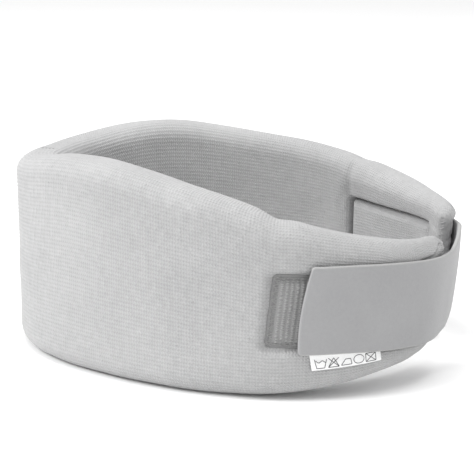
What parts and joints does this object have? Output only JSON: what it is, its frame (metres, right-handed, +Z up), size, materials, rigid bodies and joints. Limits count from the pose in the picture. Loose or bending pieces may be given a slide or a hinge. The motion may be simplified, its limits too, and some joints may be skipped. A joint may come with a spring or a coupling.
{
  "type": "cervical collar",
  "caption": "Soft foam neck collar in a knitted cover, higher under the chin, closed at the nape by a hook-and-loop strap.",
  "frame": {"origin": "bottom centre of the closed collar's box, on the surface it stands on", "axes": "+Z up, -Y towards the chin, +Y towards the nape and the closure, +X the wearer's left"},
  "size_m": [0.1399, 0.1656, 0.0754],
  "materials": {
    "knit": "ribbed cotton stockinette, matt",
    "foam": "open-cell polyurethane foam, matt",
    "loop": "brushed loop fabric",
    "velour": "smooth brushed velour laminate",
    "hook": "moulded nylon hooks",
    "thread": "spun polyester thread",
    "label": "white satin ribbon, slight sheen"
  },
  "bodies": {
    "front": {"foam_core_front": "foam", "knit_cover_front": "knit"},
    "left_side": {"foam_core_left": "foam", "knit_cover_left": "knit", "end_seam_left": "thread", "loop_patch": "loop", "loop_patch_stitching": "thread", "care_label_tab": "label"},
    "right_side": {"foam_core_right": "foam", "knit_cover_right": "knit", "end_seam_right": "thread", "strap_sewn_end": "velour", "strap_stitching": "thread"},
    "strap": {"strap_band": "velour", "hook_tape": "hook"},
    "care_label": {"care_label": "label"}
  },
  "joints": [
    {"name": "right_side_open", "type": "hinge", "parent": "front", "child": "right_side", "pos_m": [-0.04041, -0.06352, 0.035], "axis": [0, 0, 1], "range_deg": [0, 24]},
    {"name": "left_side_open", "type": "hinge", "parent": "front", "child": "left_side", "pos_m": [0.04041, -0.06352, 0.035], "axis": [0, 0, -1], "range_deg": [0, 24]},
    {"name": "strap_peel", "type": "hinge", "parent": "right_side", "child": "strap", "pos_m": [-0.02276, 0.08077, 0.03], "axis": [0, 0, 1], "range_deg": [0, 135]},
    {"name": "label_lift", "type": "hinge", "parent": "left_side", "child": "care_label", "pos_m": [0.06109, 0.05047, 0.0154], "axis": [0.5204, -0.8539, 0], "range_deg": [0, 75]}
  ],
  "couplings": [
    {"joint": "left_side_open", "follows": "right_side_open", "ratio": 1},
    {"joint": "strap_peel", "follows": "right_side_open", "ratio": 5.6}
  ]
}
